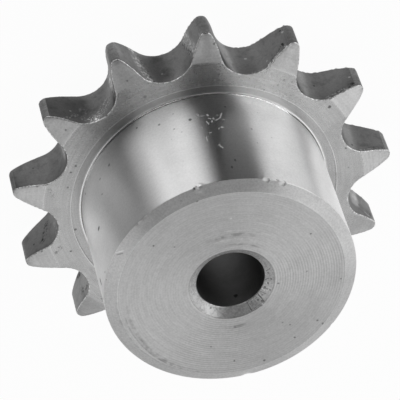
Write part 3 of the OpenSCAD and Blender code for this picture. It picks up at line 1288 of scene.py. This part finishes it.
def lamp(name, azimuth, elevation, wide, tall, brightness):
    """A soft rectangular lamp that faces the part; its power is brightness x pi x its area."""
    tilt, turn = math.radians(elevation), math.radians(azimuth)
    level = math.cos(tilt)
    way = Vector((level * math.cos(turn), level * math.sin(turn), math.sin(tilt)))
    data = bpy.data.lights.new(name, "AREA")
    data.shape = "RECTANGLE"
    data.size = 2 * LAMP_DISTANCE * math.tan(math.radians(wide / 2))
    data.size_y = 2 * LAMP_DISTANCE * math.tan(math.radians(tall / 2))
    data.energy = brightness * math.pi * data.size * data.size_y
    placed = bpy.data.objects.new(name, data)
    placed.location = way * LAMP_DISTANCE
    placed.rotation_euler = way.to_track_quat("Z", "Y").to_euler()
    placed.visible_camera = False
    return placed


def graded_paper(name, steps=106):
    """A flat sector of a ring on the floor, with the grey of each of its points as a value."""
    azimuths, near, far = np.array(GREYS).T
    spread = np.linspace(azimuths[0], azimuths[-1], steps)
    radius = np.array(PAPER_RINGS)[:, None]
    x, y = radius * np.cos(np.radians(spread)), radius * np.sin(np.radians(spread))
    points = np.stack([x, y, np.full_like(x, LOW.z + PAPER_LIFT)], axis=2).reshape(-1, 3)
    i = np.arange(steps * (len(radius) - 1)).reshape(-1, steps)[:, :-1].ravel()
    faces = np.stack([i, i + steps, i + steps + 1, i + 1], axis=1)
    mesh = bpy.data.meshes.new(name)
    mesh.from_pydata(points.tolist(), [], faces.tolist())
    tones = np.repeat([np.interp(spread, azimuths, greys) for greys in (near, far)], 2, axis=0)
    mesh.attributes.new("grey", "FLOAT", "POINT").data.foreach_set("value", tones.ravel())
    mesh.materials.append(paper_material(name, "grey"))
    placed = bpy.data.objects.new(name, mesh)
    placed.visible_camera = False
    placed.visible_shadow = False
    placed.visible_diffuse = False
    return placed


class SPROCKET_OT_stage(bpy.types.Operator):
    """Make the floor, the lights and the camera."""

    bl_idname = "sprocket.stage"
    bl_label = "Make the stage"

    def execute(self, context):
        scene = context.scene
        studio = scene.sprocket_studio
        half = studio.floor_size / 2
        mesh = bpy.data.meshes.new("floor")
        corners = [(x * half, y * half, LOW.z) for x, y in ((-1, -1), (1, -1), (1, 1), (-1, 1))]
        mesh.from_pydata(corners, [], [(0, 1, 2, 3)])
        mesh.materials.append(paper_material("pale_floor"))
        floor = bpy.data.objects.new("floor", mesh)
        scene.collection.objects.link(floor)
        paper = graded_paper("graded_paper")
        scene.collection.objects.link(paper)
        for name, values in LAMPS.items():
            scene.collection.objects.link(lamp(name, *values))
        world = bpy.data.worlds.new("studio")
        world.use_nodes = True
        world.node_tree.nodes["Background"].inputs["Color"].default_value = (1, 1, 1, 1)
        world.node_tree.nodes["Background"].inputs["Strength"].default_value = WORLD_STRENGTH
        scene.world = world
        camera = bpy.data.cameras.new("camera")
        camera.sensor_width = 36
        camera.lens = studio.lens
        camera.clip_start = 0.01
        placed = bpy.data.objects.new("camera", camera)
        scene.collection.objects.link(placed)
        placed.matrix_world = camera_matrix(studio)
        scene.camera = placed
        scene.view_settings.view_transform = "Standard"
        return {"FINISHED"}


class SPROCKET_PT_panel(bpy.types.Panel):
    """Lists what the add-on makes."""

    bl_idname = "SPROCKET_PT_panel"
    bl_label = "Chain sprocket"
    bl_space_type = "VIEW_3D"
    bl_region_type = "UI"
    bl_category = "Sprocket"

    def draw(self, context):
        scene = context.scene
        for group in (scene.sprocket_sizes, scene.sprocket_look, scene.sprocket_studio):
            for key in group.__annotations__:
                self.layout.prop(group, key)
        for operator in (SPROCKET_OT_body, SPROCKET_OT_stage):
            self.layout.operator(operator.bl_idname)


CLASSES = (
    SprocketSizes,
    SteelLook,
    StudioSettings,
    SPROCKET_OT_body,
    SPROCKET_OT_stage,
    SPROCKET_PT_panel,
)


def register():
    """Make the classes and the settings known."""
    for made in CLASSES:
        bpy.utils.register_class(made)
    bpy.types.Scene.sprocket_sizes = bpy.props.PointerProperty(type=SprocketSizes)
    bpy.types.Scene.sprocket_look = bpy.props.PointerProperty(type=SteelLook)
    bpy.types.Scene.sprocket_studio = bpy.props.PointerProperty(type=StudioSettings)


def unregister():
    """Take the settings and the classes away again."""
    del bpy.types.Scene.sprocket_studio
    del bpy.types.Scene.sprocket_look
    del bpy.types.Scene.sprocket_sizes
    for made in reversed(CLASSES):
        bpy.utils.unregister_class(made)


def main():
    """Make everything in order."""
    register()
    bpy.ops.sprocket.stage()
    bpy.ops.sprocket.body()


if __name__ == "__main__":
    main()
